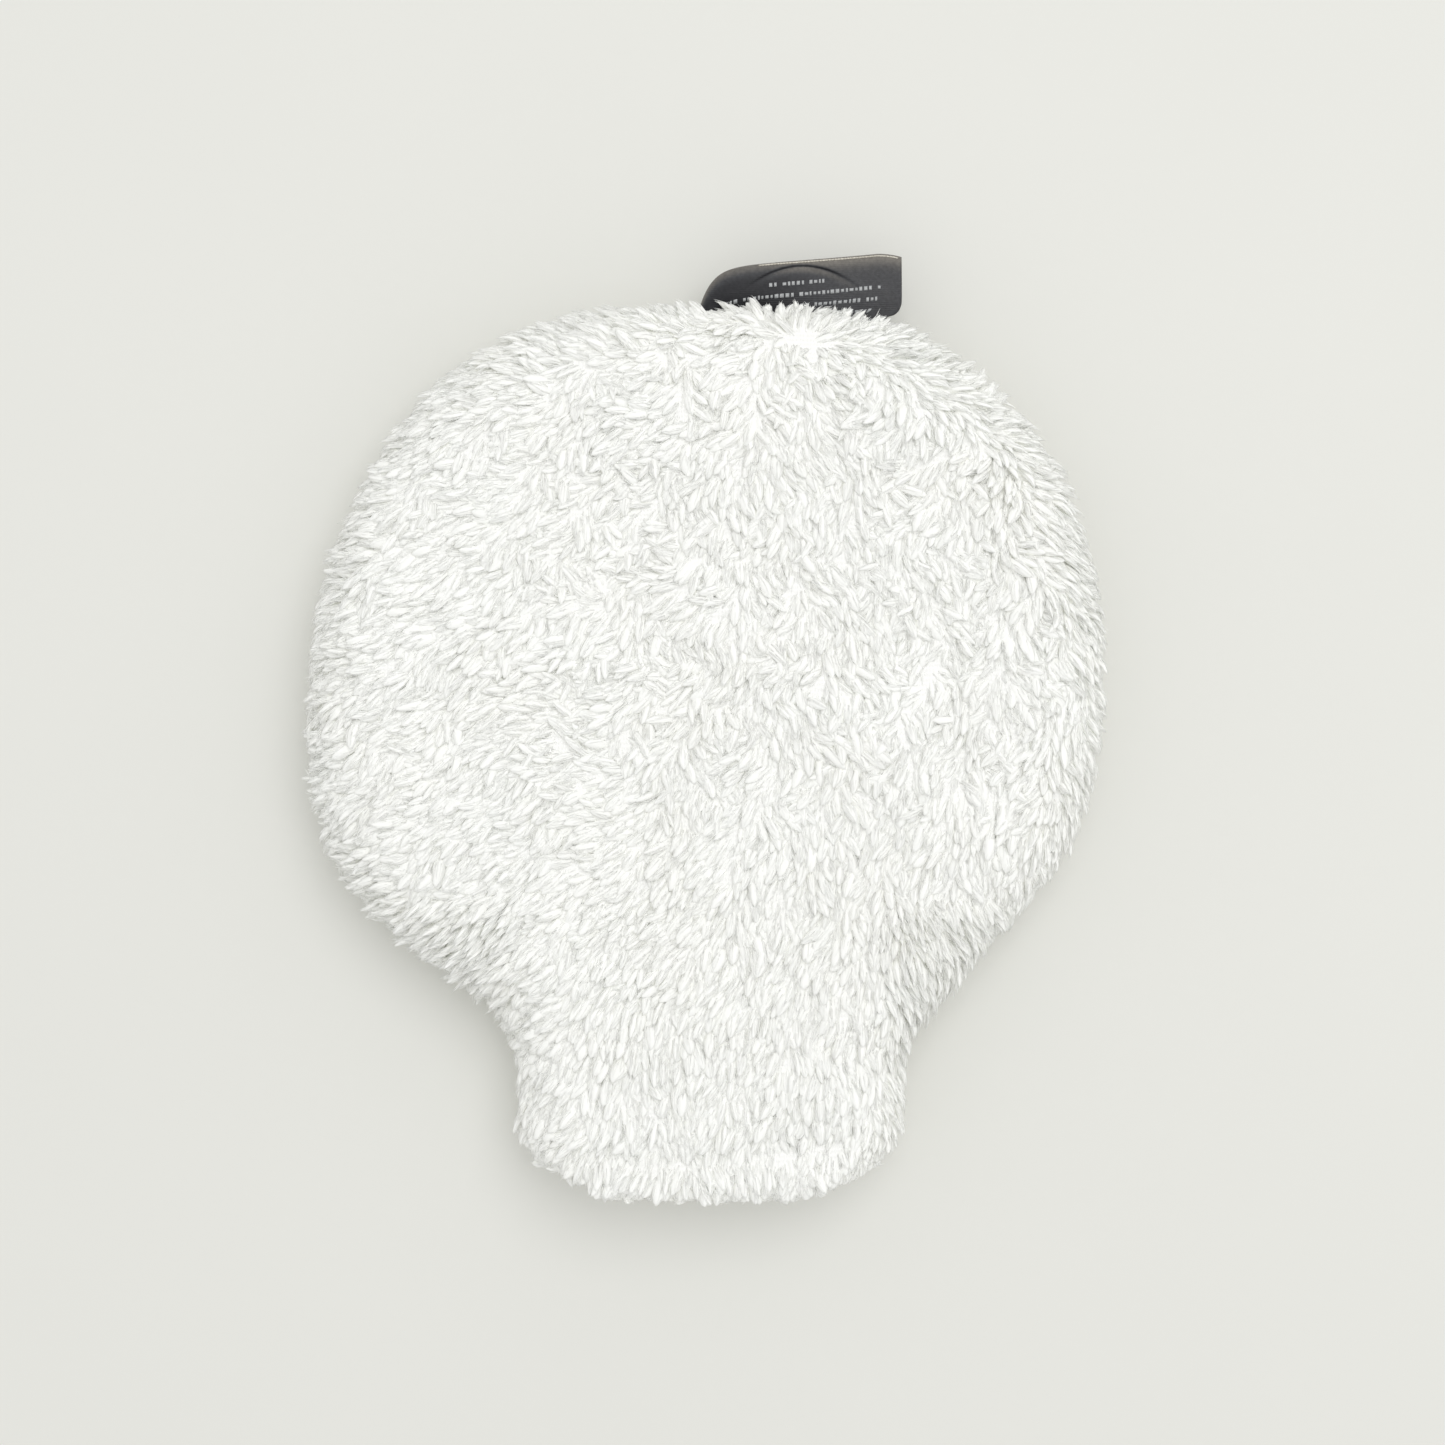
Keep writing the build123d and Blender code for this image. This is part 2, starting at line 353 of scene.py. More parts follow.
def opens_with_mouth(thing):
    """Lets a piece follow the back half below the seam and the front half above it. The share is the
    stored pull, which spreads the stretch over the cloth on both sides of the seam."""
    pull = read_values(thing, "pull")
    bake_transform(thing, "back_half", "front_half", start=(0, 0, back_low.z), end=(0, 0, front_high.z))
    point_value(thing, "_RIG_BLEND", pull)


def pull_at(way, side, reach):
    """How far a point follows the front half, by its way along the cloth from the seam."""
    return smooth(0.5 + 0.5 * side * way / reach)


# ---------------------------------------------------------------- plush backing
def mouth_profile(half, height, roll, across, side):
    """Height and way from the seam of a flattened ring, for points at across (from -half to half)."""
    edge = half - np.abs(across)
    z = seam_z + side * rounded(edge, height, roll)
    way = np.concatenate([[0], np.cumsum(np.hypot(np.diff(across), np.diff(z)))])
    return z, np.minimum(way, way[-1] - way)


def plush_skin(name, side):
    """One plush panel's knitted backing: the outside, the fold at the mouth and the turned-in hem."""
    relief = undulation if side > 0 else None
    outer, way = span(skin_inset, rim_y, skin_height, skin_roll, 150, 10, 14, side, relief)
    mouth_row = np.concatenate([outer[0], outer[-1][::-1][1:]])
    mouth_way = np.concatenate([way[0], way[-1][::-1][1:]])
    x = mouth_row[:, 0]
    across = x / np.where(x < 0, -x.min(), x.max()) * hem_half
    inside_z, inside_way = mouth_profile(hem_half, hem_height, hem_roll, across, side)
    outer_pull = pull_at(mouth_way, side, outer_reach)
    inner_pull = pull_at(inside_way, side, inner_reach)
    rows, pulls, insides = [mouth_row], [outer_pull], [np.zeros(len(mouth_row))]
    for turn in np.linspace(0, math.pi, 10)[1:]:
        mix = (1 - math.cos(turn)) / 2
        row = mouth_row.copy()
        row[:, 0] = mouth_row[:, 0] * (1 - mix) + across * mix
        row[:, 2] = mouth_row[:, 2] * (1 - mix) + inside_z * mix
        row[:, 1] -= rim_radius * math.sin(turn)
        rows.append(row)
        pulls.append(outer_pull * (1 - mix) + inner_pull * mix)
        insides.append(np.full(len(row), smooth((turn / math.pi - 0.55) / 0.45)))
    fold = rows[-1]
    end_y = hem_end_y + 0.25 * mouth_lift(across * mouth_half / hem_half)
    for step in np.linspace(0, 1, 9)[1:]:
        row = fold.copy()
        row[:, 1] = fold[:, 1] * (1 - step) + end_y * step
        rows.append(row)
        pulls.append(inner_pull)
        insides.append(np.ones(len(row)))
    rim = np.stack(rows)
    outer_count = outer.shape[0] * outer.shape[1]
    points = np.vstack([outer.reshape(-1, 3), rim.reshape(-1, 3)])
    faces = [grid_faces(*outer.shape[:2], side < 0), grid_faces(*rim.shape[:2], side > 0) + outer_count]
    skin = mesh_object(name, points, np.vstack(faces))
    pull = np.concatenate([pull_at(way, side, outer_reach).ravel(), np.stack(pulls).ravel()])
    point_value(skin, "pull", pull)
    point_value(skin, "inside", np.concatenate([np.zeros(outer_count), np.stack(insides).ravel()]))
    weld(skin)
    return skin


# ---------------------------------------------------------------- pile
# A tuft is one soft lock of fibres with a rounded end, and a few loose wisps along it.
LOCK_WAY = np.array([0.0, 0.25, 0.5, 0.74, 0.91, 1.0])  # places of a lock's rings
LOCK_WIDTH = np.array([0.85, 1.25, 1.4, 1.2, 0.7, 0.12]) * MM  # half widths there
LOCK_DEPTH = np.array([0.7, 0.9, 0.9, 0.75, 0.42, 0.08]) * MM
LOCK_SIDES = 7
WISPS = 10
WISP_WAY = np.array([0.0, 0.55, 1.0])
WISP_WIDTH = np.array([0.13, 0.16, 0.02]) * MM
WISP_SIDES = 3
TUFT_LENGTH = 8.0 * MM
HEM_TUFT_LENGTH = 3.2 * MM
ROOT_SPACING = 1.65  # millimetres between roots
UNDERSIDE_SPACING = 0.9  # millimetres more where the mitt lies on its pile
TRY_CELL = 1.4 * MM  # roots are tried five to a cell of this side
TUFTS_PER_PIECE = 800  # tufts in each pile piece; keeps each piece small enough to export whole


def spread_roots(skin, seed):
    """Tuft roots spread evenly over a skin, further apart on the underside."""
    mesh = skin.data
    mesh.calc_loop_triangles()
    count = len(mesh.loop_triangles)
    corners = np.zeros(count * 3, np.int32)
    mesh.loop_triangles.foreach_get("vertices", corners)
    corners = corners.reshape(-1, 3)
    points, normals = (read_vectors(skin, what).astype(float) for what in ("co", "normal"))
    a, b, c = (points[corners[:, i]] for i in range(3))
    area = np.linalg.norm(np.cross(b - a, c - a), axis=1) / 2
    draw = np.random.default_rng(seed)
    tries = int(area.sum() / TRY_CELL**2 * 5)
    chosen = draw.choice(count, tries, p=area / area.sum())
    u, v = draw.random(tries), draw.random(tries)
    over = u + v > 1
    u[over], v[over] = 1 - u[over], 1 - v[over]
    share = np.stack([1 - u - v, u, v], 1)

    def at(values):
        return np.einsum("nk,nk...->n...", share, values[corners[chosen]])

    place, normal = at(points), at(normals)
    normal /= np.linalg.norm(normal, axis=1, keepdims=True)
    pull, inside = at(read_values(skin, "pull")), at(read_values(skin, "inside"))
    under = smooth((-normal[:, 2] - 0.35) * 3) * (1 - inside)
    apart = (ROOT_SPACING + UNDERSIDE_SPACING * under) * MM
    cell = apart.max()
    keys = np.floor(place / cell).astype(int)
    taken, kept = {}, []
    for i in range(tries):
        x, y, z = place[i]
        kx, ky, kz = keys[i]
        limit = apart[i] ** 2
        near = (
            root
            for gx in (kx - 1, kx, kx + 1)
            for gy in (ky - 1, ky, ky + 1)
            for gz in (kz - 1, kz, kz + 1)
            for root in taken.get((gx, gy, gz), ())
        )
        if all((qx - x) ** 2 + (qy - y) ** 2 + (qz - z) ** 2 >= limit for qx, qy, qz in near):
            taken.setdefault((kx, ky, kz), []).append((x, y, z))
            kept.append(i)
    return place[kept], normal[kept], pull[kept], inside[kept]


def lay_of_pile(place, normal, inside):
    """The way each tuft is brushed, along the cloth, and how near it is to the mitt's edge."""
    from_centre = place[:, :2] - [0, centre_y]
    reach = np.hypot(*from_centre.T)
    below = place[:, 1] < centre_y - 60 * MM
    side_reach = np.where(below, np.abs(place[:, 0]) / neck_half, reach / body_radius)
    edge = smooth((side_reach - 0.84 + 0.05 * noise(place, 18 * MM, 13)) / 0.16)
    outward = np.zeros((len(place), 3))
    outward[:, :2] = unit(from_centre)
    neck = smooth((centre_y - 62 * MM - place[:, 1]) / (40 * MM))
    outward[:, 0] = outward[:, 0] * (1 - neck) + np.sign(place[:, 0]) * neck * 0.6
    outward[:, 1] = outward[:, 1] * (1 - neck) - 0.8 * neck
    # brushed down and to the left on the left, straight down to the right and over the neck
    rightness = smooth((place[:, 0] + 40 * MM) / (80 * MM))
    lowness = smooth((-45 * MM - place[:, 1]) / (50 * MM)) * smooth((place[:, 0] + 60 * MM) / (50 * MM))
    down = np.maximum(rightness, lowness)
    brushed = np.zeros((len(place), 3))
    brushed[:, 0] = -0.8 + 0.72 * down
    brushed[:, 1] = -0.6 - 0.4 * down
    against = np.clip(-(outward * brushed).sum(1), 0, 1)
    lay = brushed + outward * (edge * (0.75 + 1.3 * against))[:, None]
    lay[:, 2] -= 0.2 * edge
    # curly in the middle and the upper half, combed on the left and over the neck
    leftness = smooth((-30 * MM - place[:, 0]) / (50 * MM))
    combed = np.maximum(leftness * 0.7, smooth(-place[:, 1] / (60 * MM)))
    curls = noise(place, 7 * MM, 11) * 1.5 + noise(place, 3.5 * MM, 12) * 1.0
    curls *= (1 - 0.62 * combed) * (1 - 0.5 * edge)
    c, s = np.cos(curls), np.sin(curls)
    # a star-shaped parting near the label
    from_star = place[:, :2] - [29 * MM, centre_y + 95 * MM]
    star_reach = np.hypot(*from_star.T)
    star = 0.5 * (np.exp(-((star_reach / (11 * MM)) ** 2)) * smooth(star_reach / (6 * MM)))[:, None]
    lay[:, :2] = lay[:, :2] * (1 - star) + unit(from_star) * star
    turned = lay.copy()
    turned[:, 0] = lay[:, 0] * c - lay[:, 1] * s
    turned[:, 1] = lay[:, 0] * s + lay[:, 1] * c
    mouthward = smooth(inside * 4)
    turned = turned * (1 - mouthward[:, None]) + np.array([0, -1, 0]) * mouthward[:, None]
    along = turned - normal * np.einsum("nk,nk->n", turned, normal)[:, None]
    return unit(along), edge


class Tufts:
    """The random sizes of all tufts, and the line that each one follows."""

    def __init__(self, place, normal, inside, seed):
        draw = np.random.default_rng(seed)
        count = len(place)
        self.count, self.place, self.normal, self.draw = count, place, normal, draw
        self.lay, self.edge = lay_of_pile(place, normal, inside)
        self.across = np.cross(normal, self.lay)
        under = smooth((-normal[:, 2] - 0.5) * 3) * (1 - inside)
        size = 1 + 0.26 * draw.uniform(-1, 1, count) + 0.12 * noise(place, 9 * MM, 31)
        length = TUFT_LENGTH * size * (1 + 0.08 * self.edge - 0.25 * under)
        length *= 1 - 0.35 * smooth((rim_y + 3 * MM - place[:, 1] + mouth_lift(place[:, 0])) / (5 * MM))
        self.length = length * (1 - inside) + HEM_TUFT_LENGTH * inside
        self.rise = np.radians(36 + 22 * self.edge + 12 * draw.uniform(-1, 1, count))
        droop = np.radians(-6 + 16 * draw.uniform(-1, 1, count) + 18 * self.edge)
        self.bend = np.minimum(droop, self.rise - 0.35) - self.rise
        self.wave = 0.9 * MM * draw.uniform(-1, 1, count)
        self.phase = draw.uniform(0, 2 * math.pi, count)
        self.twist = draw.uniform(-0.7, 0.7, count)
        self.girth = (1 + 0.34 * draw.uniform(-1, 1, count)) * (1 - 0.6 * inside) * (1 - 0.2 * self.edge)

    def line(self, t):
        """Centre of each tuft at way t (tufts, ...), with the directions across it and out of it."""
        more = (slice(None),) + (None,) * (t.ndim - 1)
        rise, bend, length = self.rise[more], self.bend[more], self.length[more]
        angle = rise + bend * t
        forward = (np.sin(angle) - np.sin(rise)) / bend * length
        upward = -(np.cos(angle) - np.cos(rise)) / bend * length
        sway = (np.sin(self.phase[more] + 2.4 * t) - np.sin(self.phase[more])) * self.wave[more]
        lay, normal, across = (v[more] for v in (self.lay, self.normal, self.across))
        centre = self.place[more] + lay * forward[..., None] + normal * upward[..., None]
        centre = centre + across * sway[..., None]
        out = normal * np.cos(angle)[..., None] - lay * np.sin(angle)[..., None]
        turn = self.twist[more] * t
        c, s = np.cos(turn)[..., None], np.sin(turn)[..., None]
        return centre, across * c + out * s, out * c - across * s


def above_ground(points, ways):
    """Presses what would reach below the floor flat on it."""
    low = 0.3 * MM + 0.35 * MM * ways
    z = points[..., 2]
    points[..., 2] = np.where(z < low, low + 0.05 * (z - low), z)


def lock_bodies(tufts):
    """Points (tufts, 1, rings, sides, 3) of the locks, and each point's way up the pile."""
    rings = len(LOCK_WAY)
    t = np.broadcast_to(LOCK_WAY, (tufts.count, rings))
    centre, across, out = tufts.line(t)
    pointed = 1 - 0.45 * tufts.edge[:, None] * smooth((LOCK_WAY - 0.45) / 0.5)
    width = LOCK_WIDTH * tufts.girth[:, None] * pointed
    depth = LOCK_DEPTH * tufts.girth[:, None] * pointed
    turn = np.arange(LOCK_SIDES) * 2 * math.pi / LOCK_SIDES
    ridge = 1 + np.where(np.arange(LOCK_SIDES) % 2, -0.1, 0.1)
    uneven = 1 + 0.08 * tufts.draw.uniform(-1, 1, (tufts.count, rings, LOCK_SIDES))
    reach = ridge * uneven
    points = (
        centre[:, :, None]
        + across[:, :, None] * (width[..., None] * np.cos(turn) * reach)[..., None]
        + out[:, :, None] * (depth[..., None] * np.sin(turn) * reach)[..., None]
    )
    ways = np.broadcast_to(t[..., None], points.shape[:3]).copy()
    above_ground(points, ways)
    return points[:, None], ways[:, None]


def wisp_bodies(tufts):
    """Points (tufts, wisps, rings, sides, 3) of the loose fibres on the locks and past their ends."""
    draw, shape = tufts.draw, (tufts.count, WISPS)
    start = draw.uniform(0.12, 0.55, shape)
    end = start + draw.uniform(0.4, 0.62, shape)
    around = draw.uniform(-0.3, math.pi + 0.3, shape)
    spin = draw.uniform(-0.5, 0.5, shape)
    loose = 1.1 * MM * draw.uniform(0, 1, shape) ** 2
    t = start[..., None] + (end - start)[..., None] * WISP_WAY
    centre, across, out = tufts.line(t)
    on_lock = np.clip(t, 0, 1)
    width = np.interp(on_lock, LOCK_WAY, LOCK_WIDTH) * tufts.girth[:, None, None]
    depth = np.interp(on_lock, LOCK_WAY, LOCK_DEPTH) * tufts.girth[:, None, None]
    width *= 1 - 0.45 * tufts.edge[:, None, None] * smooth((on_lock - 0.45) / 0.5)
    width += loose[..., None] * WISP_WAY**2
    depth += loose[..., None] * WISP_WAY**2
    turn = around[..., None] + spin[..., None] * WISP_WAY
    centre = centre + across * (width * np.cos(turn) * 1.03)[..., None]
    centre = centre + out * (depth * np.sin(turn) * 1.03)[..., None]
    ring = np.arange(WISP_SIDES) * 2 * math.pi / WISP_SIDES
    size = WISP_WIDTH[None, None, :, None]
    points = (
        centre[..., None, :]
        + across[..., None, :] * (size * np.cos(ring))[..., None]
        + out[..., None, :] * (size * np.sin(ring))[..., None]
    )
    ways = np.broadcast_to(np.clip(t, 0, 1)[..., None], points.shape[:4]).copy()
    above_ground(points, ways)
    return points, ways


def strand_faces(rings, sides):
    """Triangles of one closed strand: its sides and a cap at each end."""
    faces = []
    for i in range(rings - 1):
        for side in range(sides):
            a, b = i * sides + side, i * sides + (side + 1) % sides
            faces += [(a, b, b + sides), (a, b + sides, a + sides)]
    last = (rings - 1) * sides
    for side in range(1, sides - 1):
        faces.append((0, side + 1, side))
        faces.append((last, last + side, last + side + 1))
    return np.array(faces)


def strands_mesh(points, ways, tint, pull, left, right):
    """Arrays of one kind of strand. Each tuft has a square of the map, and these strands have its columns
    from left to right."""
    tufts, each, rings, sides = points.shape[:4]
    pattern = strand_faces(rings, sides)
    starts = np.arange(tufts * each) * rings * sides
    faces = (pattern[None] + starts[:, None, None]).reshape(-1, 3)
    squares = math.ceil(math.sqrt(tufts))
    tuft = np.arange(tufts)
    column, row = (tuft % squares)[:, None, None, None], (tuft // squares)[:, None, None, None]
    place = (np.arange(each)[:, None, None] + np.linspace(0.1, 0.9, sides)[None, None]) / each
    u = (column + left + (right - left) * place[None]) / squares
    v = (row + np.linspace(0.06, 0.94, rings)[None, None, :, None]) / squares
    uv = np.stack(np.broadcast_arrays(u, v), -1)
    uv = np.broadcast_to(uv, (tufts, each, rings, sides, 2)).reshape(-1, 2)
    repeat = each * rings * sides
    return points.reshape(-1, 3), faces, uv, ways.ravel(), np.repeat(tint, repeat), np.repeat(pull, repeat)


def pile_piece(name, chosen, bodies, tint, pull, material):
    """One mesh of closed locks and wisps."""
    parts = []
    for (points, ways), (left, right) in zip(bodies, ((0.04, 0.5), (0.54, 0.96))):
        parts.append(strands_mesh(points[chosen], ways[chosen], tint[chosen], pull[chosen], left, right))
    split = len(parts[0][0])
    points, uv, ways, tints, pulls = (np.concatenate([parts[0][i], parts[1][i]]) for i in (0, 2, 3, 4, 5))
    faces = np.vstack([parts[0][1], parts[1][1] + split])
    piece = mesh_object(name, points, faces)
    point_value(piece, "way", ways)
    point_value(piece, "tint", tints)
    point_value(piece, "pull", pulls)
    layer = piece.data.uv_layers.new(name="OFBake")
    layer.data.foreach_set("uv", uv[faces.ravel()].astype(np.float32).ravel())
    dress(piece, material, "plush")
    return piece


def grow_pile(skin, side, seed, material):
    """All the pile of one panel, in pieces small enough to export whole."""
    place, normal, pull, inside = spread_roots(skin, seed)
    keep = (inside <= 0.9) | (np.abs(place[:, 1] - hem_stitch_y) >= 0.9 * MM)  # bare beside the stitches
    place, normal, pull, inside = place[keep], normal[keep], pull[keep], inside[keep]
    tufts = Tufts(place, normal, inside, seed + 1)
    bodies = [lock_bodies(tufts), wisp_bodies(tufts)]
    for points, _ in bodies:
        clear_label(points, side)
    tint = 0.5 + 0.28 * noise(place, 16 * MM, 41) + 0.22 * noise(place, 2.2 * MM, 42)
    body = bodies[0][0].reshape(tufts.count, -1, 3)
    near = (beyond_bend(body).max(1) > -1.5 * MM) & (body[..., 0].max(1) > label_left - 2 * MM)
    word = "front" if side > 0 else "back"
    over = pile_piece(f"{word}_pile_at_label", np.flatnonzero(near), bodies, tint, pull, material)
    bends_with_label(over)
    pieces = [over]
    rest = np.flatnonzero(~near)
    rest = rest[np.argsort(place[rest, 1])]
    for number, chosen in enumerate(np.array_split(rest, math.ceil(len(rest) / TUFTS_PER_PIECE)), 1):
        piece = pile_piece(f"{word}_pile_{number}", chosen, bodies, tint, pull, material)
        opens_with_mouth(piece)
        pieces.append(piece)
    return pieces


# ---------------------------------------------------------------- label
label_low, label_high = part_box("care_label")
label_left, label_right = label_low.x, label_high.x
label_width = label_right - label_left
flap = joints["label_flap"]
bend_point = np.array(flap["pos_m"])
bend_axis = np.array(flap["axis"])
bend_out = np.cross([0, 0, 1], bend_axis)  # across the bend line, away from the mitt
bend_start = tuple(bend_point - bend_out * 0.8 * MM)
bend_end = tuple(bend_point + bend_out * 2.0 * MM)
ribbon_thickness = 0.3 * MM
ribbon_root = 13 * MM  # length of each ply inside the seam
ribbon_bulge = 1.7 * MM
ribbon_curl = 3.2 * MM  # how far the left end curls down
lower_bulge = 0.55 * ribbon_bulge


def beyond_bend(points):
    """How far points lie past the label's bend line, away from the mitt."""
    return (points - bend_point) @ bend_out


def fold_line(x):
    """Where the label's fold runs: rising to the right, and curling back at its left end."""
    slant = 0.085 * np.clip(label_right - 7 * MM - x, 0, None)
    droop = 20 * np.clip(x - label_right + 7 * MM, 0, None) ** 2
    curl = 13 * MM * np.exp(-(x - label_left) / (3.6 * MM))
    return label_high.y - slant - droop - curl


def root_line(x):
    """Where each ply of the label ends, inside the seam."""
    return bend_point[1] - 0.15 * (x - bend_point[0]) - ribbon_root + 2 * MM


def crease(x):
    """Where a crease bows across the label's upper ply, and how strong it is."""
    middle = label_left + 31 * MM
    return label_high.y - 3.4 * MM - 24 * (x - middle) ** 2, smooth(1.3 - np.abs(x - middle) / (14 * MM))


def label_surface(across, along):
    """Points of the label's loop. across goes from 0 at its left edge to 1 at its right; along goes from 0
    at the root of the upper ply to 1 at the fold, and on to 2 at the root of the lower ply."""
    across, along = np.asarray(across, float), np.asarray(along, float)
    x = label_left + label_width * across
    fold = fold_line(x)
    root = root_line(x)
    way = np.sin(np.clip(1 - np.abs(1 - along), 0, 1) * math.pi / 2)
    y = root + (fold - root) * way
    upper = along <= 1
    bulge = np.where(upper, ribbon_bulge, -lower_bulge)
    visible = smooth((way - 0.3) / 0.35)
    z = bulge * visible * np.sqrt(np.clip(1 - way**5, 0, 1))
    z = z + np.where(upper, 0.25, -0.25) * MM * np.sqrt(np.clip(1 - way**8, 0, 1))
    # the left end curls down, and the whole ribbon waves a little
    z = z - ribbon_curl * np.exp(-(x - label_left) / (5 * MM)) * visible
    z = z + 0.5 * MM * np.sin((x - label_left) / (9 * MM) + 0.6) * visible
    # a crease bows across the upper ply
    crease_y, inside_crease = crease(x)
    step = smooth((y - crease_y) / (0.7 * MM) + 0.5) - 0.5
    z = z + np.where(upper, 0.8 * MM * step * inside_crease * visible, 0)
    # the free corner at the right is rounded where the ribbon goes into the seam
    drop = np.clip(root_line(x) + ribbon_root + 3.4 * MM - y, 0, None)
    corner = 4 * MM
    rounding = corner - np.sqrt(np.clip(corner**2 - np.minimum(drop, corner) ** 2, 0, None))
    x = x - (np.clip(rounding, 0, None) + 0.6 * np.clip(drop - corner, 0, None)) * across**6
    return np.stack([x, y, seam_z + z], -1)


def clear_label(points, side):
    """Keeps the pile of the front above the label, and that of the back below it."""
    x, y, z = points[..., 0], points[..., 1], points[..., 2]
    beside = (x > label_left - 0.5 * MM) & (x < label_right + 0.5 * MM)
    beside &= (beyond_bend(points) > -6 * MM) & (y < fold_line(x) + 1 * MM)
    curl = -ribbon_curl * np.exp(-(x - label_left) / (5 * MM))
    top = seam_z + curl + ribbon_bulge + 1.0 * MM
    bottom = seam_z + curl - lower_bulge - 1.0 * MM
    spread = 0.25 * np.abs(z - seam_z) % (1.5 * MM)
    if side > 0:
        points[..., 2] = np.where(beside & (z < top), top + spread, z)
    else:
        points[..., 2] = np.where(beside & (z > bottom), bottom - spread, z)


def bends_with_label(thing):
    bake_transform(thing, "back_half", "label", start=bend_start, end=bend_end)


def ribbon_painted_sheen_and_shade(points):
    """Painted light on the satin: a painted highlight along its fold and just below its crease, painted shade
    toward its curled left end, and a painted shadow line in its crease.
    """
    x, y = points[:, 0], points[:, 1]
    below_fold = np.clip(fold_line(x) - y, 0, None)
    crease_y, strength = crease(x)
    # painted highlight along the fold, where the ribbon curves over
    gloss = 0.12 + 0.75 * np.exp(-((below_fold / (2.8 * MM)) ** 2))
    # painted shade: darker toward the curled left end
    gloss += 0.3 * smooth((x - label_left - 18 * MM) / (26 * MM))
    # painted highlight just below the crease, then a painted shadow line in it
    gloss += 0.25 * strength * np.exp(-(((y - crease_y + 1.2 * MM) / (1.0 * MM)) ** 2))
    return gloss - 0.7 * strength * np.exp(-(((y - crease_y) / (0.35 * MM)) ** 2))


def care_label(material):
    """The folded ribbon, both plies and the fold in one loop."""
    across, along = np.linspace(0, 1, 121), np.linspace(0, 2, 141)
    grid = label_surface(*np.meshgrid(across, along, indexing="ij"))
    label = mesh_object("folded_care_label", grid.reshape(-1, 3), grid_faces(121, 141, True))
    # stores the painted highlight and shade that colour the ribbon
    point_value(label, "gloss", ribbon_painted_sheen_and_shade(grid.reshape(-1, 3)))
    thicken(label, ribbon_thickness, 0)
    dress(label, material, "label_ribbon", "care_label", "care_label_tail")
    bends_with_label(label)
    return label


def label_rows(material):
    """Rows of plain dashes stand for the label's print."""
    draw = np.random.default_rng(7)
    points, faces = [], []
    for below_fold, start, end in ((6.6, 18, 34.5), (10.0, 4, 50), (13.3, 4, 50), (16.6, 4, 49)):
        x = start * MM
        while x < end * MM:
            wide = draw.uniform(0.5, 1.2) * MM
            tall = draw.choice([0.85, 1.15]) * MM
            xs = np.linspace(x, x + wide, 4)
            fold, root = fold_line(xs), root_line(xs)
            row = fold - below_fold * MM
            ways = [(row + shift * tall - root) / (fold - root) for shift in (-0.5, 0, 0.5)]
            along = np.arcsin(np.clip(np.stack(ways, 1), 0, 1)) * 2 / math.pi
            across = np.repeat((xs - label_left)[:, None] / label_width, 3, 1)
            grid = label_surface(across, along)
            grid[..., 2] += ribbon_thickness / 2 + 0.03 * MM
            faces.append(grid_faces(4, 3, True) + sum(len(p) for p in points))
            points.append(grid.reshape(-1, 3))
            x += wide + draw.uniform(0.4, 0.6) * MM
            if draw.random() < 0.12:
                x += 1.2 * MM
    rows = mesh_object("label_print_dashes", np.vstack(points), np.vstack(faces))
    thicken(rows, 0.04 * MM, 1)
    dress(rows, material, "label_ribbon")
    bends_with_label(rows)
    return rows


def label_edging(material):
    """A pale serrated bead just below the fold."""
    path = label_surface(np.linspace(0.3, 0.985, 240), np.full(240, 0.87))
    path, even = evenly(path, 0.12 * MM)
    path[:, 2] += ribbon_thickness / 2 + 0.14 * MM * np.sin(2 * math.pi * even / (0.9 * MM))
    points, faces = tube(path, 0.24 * MM, 6)
    edging = mesh_object("label_edging", points, faces[:-2])
    dress(edging, material, "label_ribbon")
    bends_with_label(edging)
    return edging


# ---------------------------------------------------------------- threads
THREAD_RADIUS = 0.3 * MM
THREAD_PLIES = 2


def tube(path, radius, sides):
    """Points and quads of a round thread along a path. Its ends are narrow, and the last two quads close
    most of each."""
    ahead = np.roll(path, -1, 0) - np.roll(path, 1, 0)
    ahead[0], ahead[-1] = path[1] - path[0], path[-1] - path[-2]
    ahead = unit(ahead)
    up = unit(np.cross(ahead, np.cross(np.array([0, 0, 1.0]) + 0.001, ahead)))
    aside = np.cross(ahead, up)
    ring = np.linspace(0, 2 * math.pi, sides, endpoint=False)
    size = np.full(len(path), radius)
    size[0] = size[-1] = radius * 0.25
    turned = np.cos(ring)[None, :, None] * up[:, None] + np.sin(ring)[None, :, None] * aside[:, None]
    grid = path[:, None] + size[:, None, None] * turned
    rows = np.arange(len(path) - 1) * sides
    quads = []
    for i in range(sides):
        j = (i + 1) % sides
        quads.append(np.stack([rows + i, rows + j, rows + sides + j, rows + sides + i], 1))
    for start in (0, (len(path) - 1) * sides):
        quads.append([[start + i for i in range(4)]])
    return grid.reshape(-1, 3), np.vstack(quads)


def threads(name, node, paths, material, twist=1.6 * MM):
    """One object of plied threads that stands for a node: each path carries yarns twisted together."""
    points, faces, count = [], [], 0
    for path in paths:
        path, even = evenly(path, 0.35 * MM)
        ahead = unit(np.gradient(path, axis=0))
        up = unit(np.cross(ahead, np.cross(np.array([0.001, 0.001, 1.0]), ahead)))
        aside = np.cross(ahead, up)
        for ply in range(THREAD_PLIES):
            turn = 2 * math.pi * (even / twist + ply / THREAD_PLIES)
            reach = THREAD_RADIUS * 0.5
            line = path + reach * (np.cos(turn)[:, None] * up + np.sin(turn)[:, None] * aside)
            more, quads = tube(line, THREAD_RADIUS * 0.55, 6)
            points.append(more)
            faces.append(quads + count)
            count += len(more)
    thing = mesh_object(name, np.vstack(points), np.vstack(faces))
    dress(thing, material, "thread", node)
    return thing


